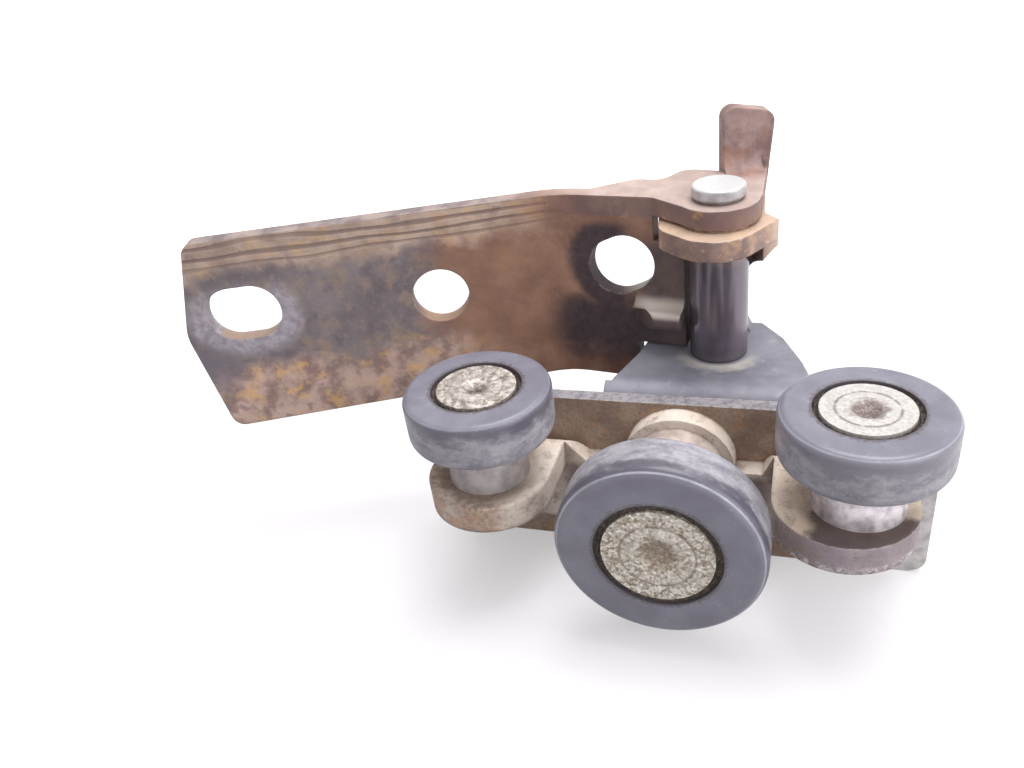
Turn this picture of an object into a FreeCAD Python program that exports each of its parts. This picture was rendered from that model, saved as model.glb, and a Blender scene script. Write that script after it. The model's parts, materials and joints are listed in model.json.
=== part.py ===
import FreeCAD, Part
import math
import os

import Sketcher

# Roller carriage of a sliding door, with the hinged bracket that bolts to the door.
# Millimetres and degrees. The bracket is fixed: X runs along its long plate, Y points
# from the carriage towards the door, Z is up and parallel to the hinge pin. The origin is
# the centre of the round bolt hole, on the face that lies against the door.
# The carriage is drawn about the hinge pin, on the top face of the yoke's base, and is
# then swung to the angle at which it rests.

DIMENSIONS = [
    # Door bracket: one bent plate with a long arm and a short wing.
    ("plate_gauge", 3.2),
    ("plate_top", 16.5),
    ("end_margin", 4.8),
    ("end_nose_drop", 1.5),
    ("end_top_inset", 4.6),
    ("end_foot_inset", 3.4),
    ("end_foot_drop", 3.2),
    ("end_corner", 2.5),
    ("end_nose_radius", 9.0),
    ("bend_reach", 23.0),
    ("bend_angle", 27.8),
    ("bend_radius", 16.0),
    ("bolt_hole", 10.6),
    ("end_slot_reach", 37.0),
    ("end_slot_rise", 1.8),
    ("end_slot_length", 14.2),
    ("wing_slot_reach", 11.6),
    ("wing_slot_rise", 3.7),
    ("wing_slot_length", 12.4),
    ("wing_slot_tilt", 24.0),
    # Ears of the bracket that hold the hinge pin.
    ("pin_reach", 28.7),
    ("pin_set", 1.1),
    ("ear_radius", 6.7),
    ("ear_root", 5.4),
    ("ear_back_depth", 14.8),
    ("ear_waist_depth", 8.0),
    ("ear_hump_depth", 9.0),
    ("ear_hump_reach", 5.2),
    ("ear_curve", 3.2),
    ("lip_depth", 4.4),
    ("lip_height", 3.4),
    ("lip_foot", 6.8),
    ("lip_curve", 2.4),
    ("lip_nose", 1.5),
    ("finger_width", 8.9),
    ("finger_setback", 6.0),
    ("finger_rise", 14.3),
    ("finger_slope", 1.9),
    ("finger_taper", 1.2),
    ("finger_corner", 2.0),
    ("finger_bend", 2.6),
    # Hinge.
    ("pin_diameter", 7.8),
    ("pin_head_diameter", 8.8),
    ("pin_head_height", 2.4),
    ("pin_head_undercut", 0.7),
    ("pin_head_edge", 0.5),
    ("pin_tail_height", 1.6),
    ("pin_tail_overhang", 1.0),
    ("washer_diameter", 12.4),
    ("washer_gauge", 0.4),
    ("sleeve_diameter", 10.0),
    ("sleeve_length", 21.4),
    ("running_gap", 0.05),
    ("press_gap", 0.02),
    ("washer_gap", 0.1),
    ("swing_gap", 0.6),
    # Yoke: head and base joined by a necked web behind the sleeve.
    ("yoke_gauge", 3.5),
    ("head_radius", 10.4),
    ("head_curve", 5.0),
    ("web_setback", 7.0),
    ("web_right", 6.9),
    ("web_left", 1.8),
    ("neck_half", 3.2),
    ("neck_scallop", 16.0),
    ("neck_level", 7.6),
    ("wall_reach", 7.3),
    ("wall_turn", 2.4),
    ("wall_front", 2.1),
    ("base_left", 13.9),
    ("base_left_front", 2.1),
    ("base_left_back", 5.6),
    ("base_left_corner", 1.5),
    ("base_right_back", 4.9),
    ("base_front_left", 18.3),
    ("base_front_right", 17.8),
    ("base_side", 14.4),
    ("flange_depth", 15.0),
    ("flange_setback", 15.5),
    ("flange_bend", 4.8),
    # Carriage.
    ("rest_angle", 19.8),
    ("carriage_shift", 5.7),
    ("axle_setback", 31.2),
    ("backing_gauge", 2.6),
    ("backing_length", 83.0),
    ("backing_height", 31.2),
    ("backing_top_drop", 0.4),
    ("backing_corner", 3.0),
    ("carrier_gauge", 3.6),
    ("carrier_foot", 24.0),
    ("carrier_bend", 5.0),
    ("axle_spacing", 57.5),
    ("axle_ear_radius", 10.4),
    ("right_ear_inset", 1.8),
    ("axle_ear_gauge", 4.8),
    ("shoulder_reach", 14.8),
    ("shoulder_drop", 10.9),
    ("tab_radius", 9.3),
    # Guide rollers, upright axles.
    ("guide_diameter", 24.0),
    ("guide_width", 8.5),
    ("guide_rise", 9.6),
    ("guide_edge", 1.2),
    ("guide_heel", 2.2),
    ("guide_lip", 1.0),
    ("guide_lip_gap", 0.9),
    ("guide_journal", 8.6),
    ("guide_inner_wall", 2.1),
    ("guide_race_gap", 1.0),
    ("guide_outer_wall", 2.2),
    ("guide_ball", 3.4),
    ("guide_neck_length", 8.0),
    ("guide_neck_top", 12.2),
    ("guide_neck_foot", 13.6),
    ("guide_dimple", 5.0),
    # Load roller, level axle.
    ("load_diameter", 32.0),
    ("load_width", 8.9),
    ("load_shift", 1.1),
    ("load_drop", 10.5),
    ("load_edge", 1.5),
    ("load_heel", 1.5),
    ("load_lip", 1.1),
    ("load_lip_gap", 1.2),
    ("load_journal", 11.4),
    ("load_inner_wall", 2.8),
    ("load_race_gap", 1.3),
    ("load_outer_wall", 2.9),
    ("load_ball", 4.5),
    ("load_neck_length", 13.2),
    ("load_neck_top", 14.4),
    ("load_neck_foot", 15.6),
    ("load_dimple", 6.8),
    # Riveted studs, both sizes.
    ("dimple_depth", 0.9),
    ("shank_shoulder", 2.0),
    ("tail_overhang", 1.6),
    ("tail_height", 1.6),
    ("tail_clearance", 0.6),
    ("race_clearance", 0.03),
    ("ball_spacing", 1.04),
]

# Levels and places that follow from the driving dimensions.
DERIVED = [
    ("end_reach", "end_slot_reach + end_slot_length / 2 + end_margin"),
    ("ear_under", "plate_top - plate_gauge"),
    ("head_top", "ear_under - washer_gauge - washer_gap"),
    ("head_under", "head_top - yoke_gauge"),
    ("base_top", "head_under - sleeve_length"),
    ("base_under", "base_top - yoke_gauge"),
    ("low_ear_top", "base_under - washer_gauge - washer_gap"),
    ("low_ear_under", "low_ear_top - plate_gauge"),
    ("base_swing", "sqrt(base_left ^ 2 + base_left_front ^ 2)"),
    ("wing_length", "pin_reach - sleeve_diameter / 2 - swing_gap"),
    ("notch_reach", "pin_reach - head_radius - swing_gap"),
    ("cutout_reach", "pin_reach - base_swing - swing_gap"),
    ("hinge_x", "bend_reach + pin_reach * cos(bend_angle * 1 deg) + pin_set * sin(bend_angle * 1 deg)"),
    ("hinge_y", "pin_set * cos(bend_angle * 1 deg) - pin_reach * sin(bend_angle * 1 deg) - plate_gauge"),
    ("pin_radius", "pin_diameter / 2"),
    ("pin_bore", "pin_radius + running_gap"),
    ("web_rear", "web_setback + yoke_gauge"),
    ("carrier_rear", "flange_setback + backing_gauge"),
    ("carrier_front", "carrier_rear + carrier_gauge"),
    ("axle_ear_top", "guide_rise - guide_width - guide_neck_length"),
    ("axle_ear_under", "axle_ear_top - axle_ear_gauge"),
    ("axle_half", "axle_spacing / 2"),
    ("load_face", "carrier_front + load_neck_length + load_width"),
    ("load_x", "load_shift - carriage_shift"),
]

doc = FreeCAD.newDocument("SlidingDoorRoller")
sheet = doc.addObject("Spreadsheet::Sheet", "Dims")
for row, (alias, value) in enumerate(DIMENSIONS + DERIVED, start=1):
    sheet.set(f"A{row}", alias)
    content = str(value) if isinstance(value, float) else "=" + value
    sheet.set(f"B{row}", content)
    sheet.setAlias(f"B{row}", alias)
doc.recompute()

ALIASES = sorted((alias for alias, _ in DIMENSIONS + DERIVED), key=len, reverse=True)


def bound(text):
    """Expression text with every sheet alias given its sheet's name."""
    words = []
    word = ""
    for letter in text + " ":
        if letter.isalnum() or letter == "_":
            word += letter
            continue
        words.append("Dims." + word if word in ALIASES else word)
        words.append(letter)
        word = ""
    return "".join(words).strip()


def size(text):
    """Number that an expression over the sheet comes to."""
    result = sheet.evalExpression(bound(text))
    return float(getattr(result, "Value", result))


def frame(x="0", y="0", z="0", turn="0", tilt="0"):
    """Placement expression: moved to x, y, z, turned about Z, then tilted about X."""
    spin = f"rotation(vector(0; 0; 1); {turn}) * rotation(vector(1; 0; 0); {tilt})"
    return f"placement(vector({x}; {y}; {z}); {spin})"


WING = frame("bend_reach", "-plate_gauge", "0", "-bend_angle")
CARRIAGE = frame("hinge_x", "hinge_y", "base_top", "-rest_angle")
UPRIGHT = "90"
ALONG = "placement(vector(0; 0; 0); rotation(vector(0; 1; 0); 90))"
EYE_SHARE = math.sqrt(0.5)
# Depth of a stud's dimple half way out, as a share of its full depth.
DIMPLE_SHARE = 0.8
# Corners of the yoke's head before rounding: angle about the pin, share of the head's radius.
HEAD_RIM = ((172, 0.98), (207, 1.0), (250, 0.97), (276, 1.0), (302, 0.9), (358, 0.92))


def place(piece, *frames):
    """Put a piece at the product of the given placements."""
    piece.setExpression("Placement", bound(" * ".join(frames)))
    return piece


def outline(name, corners, *frames):
    """Closed straight-sided sketch, each corner held by the sheet."""
    sketch = doc.addObject("Sketcher::SketchObject", name)
    points = [FreeCAD.Vector(size(x), size(y), 0) for x, y in corners]
    count = len(points)
    for index in range(count):
        sketch.addGeometry(Part.LineSegment(points[index], points[(index + 1) % count]), False)
    for index in range(count):
        sketch.addConstraint(Sketcher.Constraint("Coincident", index, 2, (index + 1) % count, 1))
    for index, (x, y) in enumerate(corners):
        hold(sketch, "DistanceX", index, x, points[index].x)
        hold(sketch, "DistanceY", index, y, points[index].y)
    if frames:
        place(sketch, *frames)
    return sketch


def hold(sketch, kind, index, text, value):
    """Tie one coordinate of a sketch corner to its expression."""
    origin, axis_x, axis_y, start = -1, -1, -2, 1
    if text == "0":
        axis = axis_y if kind == "DistanceX" else axis_x
        sketch.addConstraint(Sketcher.Constraint("PointOnObject", index, start, axis))
        return
    number = sketch.addConstraint(Sketcher.Constraint(kind, origin, 1, index, start, value))
    sketch.setExpression(f"Constraints[{number}]", bound(text))


def extrude(name, corners, height, *frames):
    """Prism on an outline."""
    solid = doc.addObject("Part::Extrusion", name)
    solid.Base = outline(name + "Outline", corners, *frames)
    solid.DirMode = "Normal"
    solid.Solid = True
    solid.setExpression("LengthFwd", bound(height))
    return solid


def revolve(name, corners):
    """Solid of revolution about Z from radius and height corners."""
    solid = doc.addObject("Part::Revolution", name)
    solid.Source = outline(name + "Profile", corners, frame(tilt=UPRIGHT))
    solid.Axis = FreeCAD.Vector(0, 0, 1)
    solid.Angle = 360
    solid.Solid = True
    return solid


def cylinder(name, radius, height, *frames):
    """Cylinder along its own Z."""
    solid = doc.addObject("Part::Cylinder", name)
    solid.setExpression("Radius", bound(radius))
    solid.setExpression("Height", bound(height))
    if frames:
        place(solid, *frames)
    return solid


def box(name, length, width, height, *frames):
    """Box from its own corner."""
    solid = doc.addObject("Part::Box", name)
    solid.setExpression("Length", bound(length))
    solid.setExpression("Width", bound(width))
    solid.setExpression("Height", bound(height))
    if frames:
        place(solid, *frames)
    return solid


def fuse(name, *pieces):
    """Union of pieces."""
    solid = doc.addObject("Part::MultiFuse", name)
    solid.Shapes = list(pieces)
    solid.Refine = True
    return solid


def cut(name, base, *tools):
    """Base less every tool."""
    solid = doc.addObject("Part::Cut", name)
    solid.Base = base
    solid.Tool = tools[0] if len(tools) == 1 else fuse(name + "Tools", *tools)
    solid.Refine = True
    return solid


def fillet(name, base, choices):
    """Round the edges that each test picks, with that test's radius."""
    doc.recompute()
    solid = doc.addObject("Part::Fillet", name)
    solid.Base = base
    edges = []
    for test, radius in choices:
        for index, edge in enumerate(base.Shape.Edges, start=1):
            if test(edge):
                edges.append((index, radius, radius))
    if not edges:
        raise ValueError(f"no edge to round on {name}")
    solid.Edges = edges
    return solid


def upright_at(x, y):
    """Test for a vertical edge that stands at x, y."""
    return lambda edge: all(
        math.hypot(vertex.X - x, vertex.Y - y) < 0.01 for vertex in edge.Vertexes
    ) and len(edge.Vertexes) == 2


def level_at(y, z):
    """Test for a straight edge along X at y, z."""
    return lambda edge: len(edge.Vertexes) == 2 and all(
        math.hypot(vertex.Y - y, vertex.Z - z) < 0.01 for vertex in edge.Vertexes
    )


def rim_at(radius, z):
    """Test for a round edge about Z."""
    return lambda edge: (
        isinstance(edge.Curve, Part.Circle)
        and abs(edge.Curve.Radius - radius) < 0.01
        and abs(edge.Curve.Center.z - z) < 0.01
    )


def slot(name, length, width, depth, *frames):
    """Round-ended slot cutter along X, centred on its frame."""
    middle = box(
        name + "Middle", f"{length} - {width}", width, depth,
        *frames, frame(f"-({length} - {width}) / 2", f"-{width} / 2"),
    )
    ends = [
        cylinder(
            name + side, f"{width} / 2", depth,
            *frames, frame(f"{sign}({length} - {width}) / 2"),
        )
        for side, sign in (("Near", "-"), ("Far", ""))
    ]
    return fuse(name, middle, *ends)


NODES = {}


def node(name, piece, *frames):
    """Name a finished piece and put it in place."""
    piece.Label = name
    if frames:
        place(piece, *frames)
    NODES[name] = piece


def door_bracket():
    """Bent plate with its bolt holes, the two hinge ears, the arm's lip and the finger."""
    wing_x = "cos(bend_angle * 1 deg)"
    wing_y = "sin(bend_angle * 1 deg)"
    strip = extrude(
        "Strip",
        [
            ("-end_reach", "-plate_gauge"),
            ("bend_reach", "-plate_gauge"),
            (f"bend_reach + wing_length * {wing_x}", f"-plate_gauge - wing_length * {wing_y}"),
            (
                f"bend_reach + wing_length * {wing_x} + plate_gauge * {wing_y}",
                f"-plate_gauge - wing_length * {wing_y} + plate_gauge * {wing_x}",
            ),
            ("bend_reach + plate_gauge * tan(bend_angle * 0.5 deg)", "0"),
            ("-end_reach", "0"),
        ],
        "plate_top - low_ear_under + end_foot_drop",
        frame(z="low_ear_under - end_foot_drop"),
    )
    inner_radius = size("bend_radius")
    outer_radius = size("bend_radius + plate_gauge")
    bent = fillet(
        "BentStrip",
        strip,
        [
            (upright_at(size("bend_reach"), -size("plate_gauge")), inner_radius),
            (
                upright_at(size("bend_reach + plate_gauge * tan(bend_angle * 0.5 deg)"), 0),
                outer_radius,
            ),
        ],
    )
    blank = extrude(
        "SilhouetteBlank",
        [
            ("-end_reach", "-end_nose_drop"),
            ("-end_reach + end_foot_inset", "low_ear_under - end_foot_drop"),
            ("bend_reach", "low_ear_under"),
            ("bend_reach + pin_reach", "low_ear_under"),
            ("bend_reach + pin_reach", "plate_top"),
            ("-end_reach + end_top_inset", "plate_top"),
        ],
        "pin_reach * 2",
        frame(y="pin_reach", tilt=UPRIGHT),
    )
    end = -size("end_reach")
    end_corner = size("end_corner")
    silhouette = fillet(
        "Silhouette",
        blank,
        [
            (edge_through(end, -size("end_nose_drop")), size("end_nose_radius")),
            (edge_through(end + size("end_top_inset"), size("plate_top")), end_corner),
            (edge_through(end + size("end_foot_inset"), size("low_ear_under - end_foot_drop")), end_corner),
        ],
    )
    trimmed = doc.addObject("Part::Common", "TrimmedStrip")
    trimmed.Base = bent
    trimmed.Tool = silhouette
    trimmed.Refine = True

    head_notch = box(
        "HeadNotch", "pin_reach", "plate_gauge * 3", "ear_under - head_under + swing_gap",
        WING, frame("notch_reach", "-plate_gauge", "head_under - swing_gap"),
    )
    base_cutout = box(
        "BaseCutout", "pin_reach", "plate_gauge * 3", "base_top + swing_gap - low_ear_top",
        WING, frame("cutout_reach", "-plate_gauge", "low_ear_top"),
    )
    plate = cut("OpenStrip", trimmed, head_notch, base_cutout)

    body = fuse(
        "BracketBody",
        plate,
        *upper_ear(),
        arm_lip(),
        *lower_ear(),
    )
    through = "plate_gauge * 3"
    round_hole = cylinder(
        "BoltHole", "bolt_hole / 2", through, frame(y="plate_gauge", tilt=UPRIGHT)
    )
    end_slot = slot(
        "EndSlot", "end_slot_length", "bolt_hole", through,
        frame("-end_slot_reach", "plate_gauge", "end_slot_rise", tilt=UPRIGHT),
    )
    wing_slot = slot(
        "WingSlot", "wing_slot_length", "bolt_hole", through,
        WING, frame("wing_slot_reach", "plate_gauge * 2", "wing_slot_rise", tilt=UPRIGHT),
        frame(turn="wing_slot_tilt"),
    )
    pin_hole = cylinder(
        "EarHoles", "pin_radius + press_gap", "plate_top - low_ear_under",
        WING, frame("pin_reach", "pin_set", "low_ear_under"),
    )
    node("door_bracket", cut("Bracket", body, round_hole, end_slot, wing_slot, pin_hole))


def upper_ear():
    """Level ear over the yoke's head, with the upright finger bent up at its back."""
    eye = cylinder(
        "UpperEye", "ear_radius", "plate_gauge", WING, frame("pin_reach", "pin_set", "ear_under")
    )
    corner = f"ear_radius * {EYE_SHARE}"
    finger_x = "pin_reach - ear_radius / 3"
    finger_y = "pin_set + ear_radius + finger_setback"
    finger_foot = "(finger_width - finger_taper)"
    front = ("notch_reach", "0")
    back = ("notch_reach + ear_curve / 2", "ear_back_depth")
    waist = ("notch_reach - ear_curve / 4", "ear_waist_depth")
    hump = ("notch_reach - ear_hump_reach", "ear_hump_depth")
    tongue = extrude(
        "TongueBlank",
        [
            ("ear_root", "0"),
            front,
            (f"pin_reach - {corner}", f"pin_set - {corner}"),
            (f"pin_reach + {corner}", f"pin_set - {corner}"),
            ("pin_reach + ear_radius", "pin_set + plate_gauge / 2"),
            (
                f"{finger_x} + {finger_foot} * cos(bend_angle * 1 deg)",
                f"{finger_y} + {finger_foot} * sin(bend_angle * 1 deg)",
            ),
            (finger_x, finger_y),
            back,
            waist,
            hump,
            ("ear_root", "plate_gauge"),
        ],
        "plate_gauge",
    )
    curved = fillet(
        "Tongue",
        tongue,
        [(upright_at(size(x), size(y)), size("ear_curve")) for x, y in (front, back, waist, hump)],
    )
    place(curved, WING, frame(z="ear_under"))
    finger = ear_finger(WING, frame(finger_x, finger_y, "ear_under", turn="bend_angle"))
    return eye, curved, *finger


def ear_finger(*frames):
    """Tapered finger with a rounded top and the inner curve of the bend at its foot."""
    right = ("finger_width", "finger_rise - finger_slope")
    left = ("0", "finger_rise")
    foot = "finger_width - finger_taper"
    blank = extrude("FingerBlank", [("0", "0"), (foot, "0"), right, left], "plate_gauge")
    upright = fillet(
        "Finger",
        blank,
        [(upright_at(size(x), size(y)), size("finger_corner")) for x, y in (right, left)]
        + [(level_at(0, 0), size("finger_bend"))],
    )
    place(upright, *frames, frame(y="plate_gauge", tilt=UPRIGHT))
    corner = box(
        "FingerBendBlank", f"{foot} - finger_taper", "finger_bend", "finger_bend",
        *frames, frame(y="-finger_bend", z="plate_gauge"),
    )
    curve = cylinder(
        "FingerBendCurve", "finger_bend", "finger_width * 2",
        *frames, frame("-finger_width / 2", "-finger_bend", "plate_gauge + finger_bend"), ALONG,
    )
    return upright, cut("FingerBend", corner, curve)


def arm_lip():
    """Rolled lip pressed forward out of the arm beside the sleeve."""
    length = "wing_length - cutout_reach"
    leg = box("LipLeg", length, "plate_gauge / 2", "lip_height + lip_curve + plate_gauge")
    shelf = box("LipShelf", length, "lip_depth + plate_gauge / 2", "lip_height", frame(y="-lip_depth"))
    nose = size("lip_nose")
    front = -size("lip_depth")
    rounded = fillet(
        "LipRounded",
        fuse("LipBlank", leg, shelf),
        [
            (level_at(front, 0), nose),
            (level_at(front, size("lip_height")), nose),
            (level_at(0, size("lip_height")), size("lip_curve")),
        ],
    )
    place(rounded, WING, frame("cutout_reach", z="-lip_foot"))
    lead_in = extrude(
        "LipLeadIn",
        [("0", "0"), ("0", "-lip_depth * 2"), ("lip_depth * 2", "-lip_depth * 2")],
        "lip_height",
        WING, frame("cutout_reach", z="-lip_foot"),
    )
    return cut("Lip", rounded, lead_in)


def lower_ear():
    """Level ear under the yoke's base, turned forward from the wing's foot."""
    eye = cylinder(
        "LowerEye", "ear_radius", "plate_gauge", WING, frame("pin_reach", "pin_set", "low_ear_under")
    )
    tongue = box(
        "LowerTongue", "pin_reach - cutout_reach", "ear_radius + pin_set", "plate_gauge",
        WING, frame("cutout_reach", "pin_set - ear_radius", "low_ear_under"),
    )
    return eye, tongue


def hinge():
    """Headed and peened pin, the sleeve it runs in and the two thrust washers."""
    head = "plate_top + pin_head_height"
    tail = "low_ear_under - pin_tail_height"
    pin = revolve(
        "Pin",
        [
            ("0", tail),
            ("pin_radius - pin_tail_overhang / 2", tail),
            ("pin_radius + pin_tail_overhang", "low_ear_under - pin_tail_height / 2"),
            ("pin_radius + pin_tail_overhang", "low_ear_under"),
            ("pin_radius", "low_ear_under"),
            ("pin_radius", "plate_top"),
            ("pin_head_diameter / 2", "plate_top + pin_head_undercut"),
            ("pin_head_diameter / 2", head),
            ("0", head),
        ],
    )
    rounded = fillet(
        "PinRounded",
        pin,
        [(rim_at(size("pin_head_diameter / 2"), size(head)), size("pin_head_edge"))],
    )
    node("hinge_pin", rounded, frame("hinge_x", "hinge_y"))
    node("hinge_sleeve", ring("Sleeve", "sleeve_diameter / 2", "pin_bore", "0", "sleeve_length"), CARRIAGE)
    washer_top = "sleeve_length + yoke_gauge + washer_gauge"
    node(
        "thrust_washer_upper",
        ring("UpperWasher", "washer_diameter / 2", "pin_bore", "sleeve_length + yoke_gauge", washer_top),
        CARRIAGE,
    )
    node(
        "thrust_washer_lower",
        ring("LowerWasher", "washer_diameter / 2", "pin_bore", "-yoke_gauge - washer_gauge", "-yoke_gauge"),
        CARRIAGE,
    )


def ring(name, outer, inner, low, high):
    """Plain ring about Z."""
    return revolve(name, [(inner, low), (outer, low), (outer, high), (inner, high)])


def hinge_yoke():
    """Head and base plates joined by a necked web, with a flange that backs the carriage plate."""
    base = extrude(
        "YokeBase",
        [
            ("-base_front_left", "-flange_setback"),
            ("-base_left", "-base_left_front"),
            ("-base_left + base_left_corner", "base_left_back"),
            ("-web_left - yoke_gauge", "web_rear"),
            ("web_right", "web_rear"),
            ("base_side - yoke_gauge", "base_right_back"),
            ("base_side", "-yoke_gauge"),
            ("base_front_right", "-flange_setback"),
        ],
        "yoke_gauge",
        frame(z="-yoke_gauge"),
    )
    flange = box(
        "YokeFlange", "base_front_left + base_front_right", "yoke_gauge", "flange_depth",
        frame("-base_front_left", "-flange_setback", "-flange_depth"),
    )
    shell = fuse("YokeShell", base, flange)
    bend_outer = size("flange_bend")
    bent = fillet("YokeBent", shell, [(level_at(-size("flange_setback"), 0), bend_outer)])

    rim = [
        (f"head_radius * {share} * cos({angle} deg)", f"head_radius * {share} * sin({angle} deg)")
        for angle, share in HEAD_RIM
    ]
    shoulder = [("wall_reach", "wall_turn"), ("web_right", "web_rear")]
    blank = extrude("YokeHeadBlank", rim + shoulder + [("-web_left", "web_rear")], "yoke_gauge")
    head = fillet(
        "YokeHead", blank, [(upright_at(size(x), size(y)), size("head_curve")) for x, y in rim[1:-1]]
    )
    place(head, frame(z="sleeve_length"))
    wall = extrude(
        "YokeWall",
        [
            ("-web_left", "web_setback"),
            ("web_right - yoke_gauge", "web_setback"),
            ("sleeve_diameter / 2 + swing_gap", "wall_turn"),
            ("wall_reach", "-wall_front"),
            rim[-1],
            *shoulder,
            ("-web_left", "web_rear"),
        ],
        "sleeve_length + yoke_gauge - neck_level",
        frame(z="neck_level"),
    )
    web = box(
        "YokeWeb", "web_left + web_right", "yoke_gauge", "sleeve_length + yoke_gauge * 2",
        frame("-web_left", "web_setback", "-yoke_gauge"),
    )
    scallop = cylinder(
        "NeckScallop", "neck_scallop", "web_rear * 3",
        frame("neck_half + neck_scallop", "web_rear * 1.5", "neck_level", tilt=UPRIGHT),
    )
    necked = cut("NeckedWall", fuse("YokeBack", web, wall), scallop)
    bore = cylinder(
        "YokeBore", "pin_bore", "sleeve_length + yoke_gauge * 2", frame(z="-yoke_gauge")
    )
    node("hinge_yoke", cut("Yoke", fuse("YokeBody", bent, necked, head), bore), CARRIAGE)


def carriage_plate():
    """Backing plate between the yoke's flange and the roller carrier."""
    plate = box(
        "BackingBlank", "backing_length", "backing_gauge", "backing_height",
        frame("-backing_length / 2 - carriage_shift", "-carrier_rear", "-backing_height - backing_top_drop"),
    )
    corners = [
        (edge_through(size(f"{end} - carriage_shift"), size(level)), size("backing_corner"))
        for end in ("-backing_length / 2", "backing_length / 2")
        for level in ("-backing_height - backing_top_drop", "-backing_top_drop")
    ]
    rounded = fillet("BackingRounded", plate, corners)
    tail_hole = cylinder(
        "TailHole", "load_journal / 2 - shank_shoulder / 2 + tail_overhang + tail_clearance",
        "backing_gauge * 3",
        frame("load_x", "-flange_setback + backing_gauge", "-load_drop", tilt=UPRIGHT),
    )
    node("carriage_plate", cut("Backing", rounded, tail_hole), CARRIAGE)


def edge_through(x, z):
    """Test for an edge along Y at x, z."""
    return lambda edge: len(edge.Vertexes) == 2 and all(
        math.hypot(vertex.X - x, vertex.Z - z) < 0.01 for vertex in edge.Vertexes
    )


def roller_carrier():
    """Stamped carrier: a centre tab for the load roller and two ears bent forward for the guides."""
    web = box(
        "CarrierWeb", "(axle_half + axle_ear_radius) * 2 - right_ear_inset", "carrier_gauge",
        "carrier_foot - shoulder_drop",
        frame("-carriage_shift - axle_half - axle_ear_radius", "-carrier_front", "-carrier_foot"),
    )
    tab = cylinder(
        "CarrierTab", "tab_radius", "carrier_gauge",
        frame("load_x", "-carrier_rear", "-load_drop", tilt=UPRIGHT),
    )
    left_ear = axle_ear("Left", "-", "0")
    right_ear = axle_ear("Right", "+", "right_ear_inset")
    body = fuse("CarrierBody", web, tab, left_ear, right_ear)
    load_hole = cylinder(
        "LoadHole", "load_journal / 2 - shank_shoulder / 2 + press_gap", "carrier_gauge * 3",
        frame("load_x", "-carrier_rear + carrier_gauge", "-load_drop", tilt=UPRIGHT),
    )
    node("roller_carrier", cut("Carrier", body, load_hole), CARRIAGE)


def axle_ear(name, side, inset):
    """Finger of the carrier, sloped at its root and bent forward into the ear of a guide axle."""
    axle = f"-carriage_shift {side} axle_half"
    middle = f"{axle} - ({side}{inset})"
    outer_end = f"{middle} {side} axle_ear_radius"
    inner_end = f"{middle} - ({side}axle_ear_radius)"
    root_end = f"-carriage_shift {side} shoulder_reach"
    left_end = outer_end if side == "-" else root_end
    span = f"axle_half + axle_ear_radius - shoulder_reach - {inset}"
    upright = box(
        f"Finger{name}", span, "carrier_gauge", "axle_ear_top + carrier_foot",
        frame(left_end, "-carrier_front", "-carrier_foot"),
    )
    level = box(
        f"Level{name}", span, "axle_setback - carrier_rear", "axle_ear_gauge",
        frame(left_end, "-axle_setback", "axle_ear_under"),
    )
    bent = fillet(
        f"Bent{name}",
        fuse(f"Angle{name}", upright, level),
        [
            (level_at(-size("carrier_rear"), size("axle_ear_top")), size("carrier_bend")),
            (
                level_at(-size("carrier_front"), size("axle_ear_under")),
                size("carrier_bend - carrier_gauge"),
            ),
        ],
    )
    slope = extrude(
        f"Slope{name}",
        [
            (inner_end, "axle_ear_top"),
            (root_end, "-shoulder_drop"),
            (root_end, "axle_ear_top + carrier_bend"),
            (inner_end, "axle_ear_top + carrier_bend"),
        ],
        "axle_setback + carrier_gauge",
        frame(tilt=UPRIGHT),
    )
    side_width = f"axle_half - axle_ear_radius - shoulder_reach - {inset}"
    ear_side = box(
        f"EarSide{name}", side_width, "axle_setback + carrier_gauge - carrier_front", "carrier_foot",
        frame(
            root_end if side == "+" else inner_end,
            "-axle_setback - carrier_gauge", "axle_ear_under - carrier_bend",
        ),
    )
    eye = cylinder(
        f"AxleEye{name}", "axle_ear_radius", "axle_ear_gauge",
        frame(middle, "-axle_setback", "axle_ear_under"),
    )
    hole = cylinder(
        f"AxleHole{name}", "guide_journal / 2 - shank_shoulder / 2 + press_gap", "axle_ear_gauge * 3",
        frame(axle, "-axle_setback", "axle_ear_under - axle_ear_gauge"),
    )
    trimmed = cut(f"Trimmed{name}", bent, slope, ear_side)
    return cut(f"Ear{name}", fuse(f"EarBody{name}", trimmed, eye), hole)


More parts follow.
